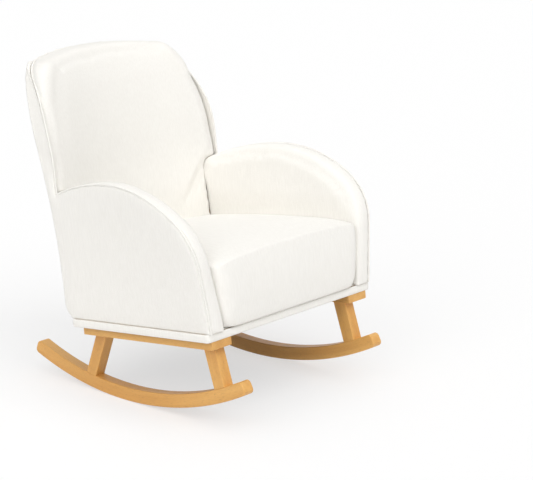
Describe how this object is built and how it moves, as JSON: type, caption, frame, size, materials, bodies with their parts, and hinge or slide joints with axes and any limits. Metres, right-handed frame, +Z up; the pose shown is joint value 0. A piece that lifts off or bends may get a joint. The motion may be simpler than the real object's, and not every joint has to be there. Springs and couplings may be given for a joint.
{
  "type": "rocking chair",
  "caption": "Upholstered nursery rocking chair with arched arms, a domed tub back and a loose boxed seat cushion, on raked timber legs and bow rockers.",
  "frame": {"origin": "on the floor, midway between the lines where the rockers touch it at rest", "axes": "+Z up, -Y the way the sitter faces, +X the sitter's left"},
  "size_m": [0.765, 0.9551, 0.9567],
  "materials": {
    "oak": "clear satin lacquer on pale hardwood",
    "frame_timber": "planed softwood and plywood, unfinished",
    "cream_weave": "off-white slub weave upholstery cloth over wadding and foam",
    "strapping": "woven elastic strapping",
    "lining": "black non-woven lining",
    "zinc": "zinc plated"
  },
  "bodies": {
    "chair": {"arm_board_left": "frame_timber", "arm_board_right": "frame_timber", "arm_bolts": "zinc", "arm_pad_left": "cream_weave", "arm_pad_right": "cream_weave", "arm_piping_left": "cream_weave", "arm_piping_right": "cream_weave", "back_board": "frame_timber", "back_bolts": "zinc", "back_bottom_rail": "frame_timber", "back_outer": "cream_weave", "back_pad": "cream_weave", "back_webbing": "strapping", "base_band": "cream_weave", "base_rail_left": "oak", "base_rail_right": "oak", "corner_blocks": "frame_timber", "dust_cover": "lining", "frame_dowels": "frame_timber", "leg_bolts": "zinc", "leg_dowels": "frame_timber", "leg_front_left": "oak", "leg_front_right": "oak", "leg_rear_left": "oak", "leg_rear_right": "oak", "rail_bolts": "zinc", "rail_washers": "zinc", "rocker_left": "oak", "rocker_right": "oak", "seat_deck": "cream_weave", "seat_frame_front": "frame_timber", "seat_frame_left": "frame_timber", "seat_frame_rear": "frame_timber", "seat_frame_right": "frame_timber", "seat_webbing_cross": "strapping", "seat_webbing_long": "strapping", "side_panel_left": "cream_weave", "side_panel_right": "cream_weave", "tee_nuts": "zinc"},
    "cushion": {"seat_cushion": "cream_weave"}
  },
  "joints": [
    {"name": "seat_cushion_slide", "type": "slide", "parent": "chair", "child": "cushion", "axis": [0, -0.993, 0.1184], "range_m": [0, 0.6]}
  ]
}
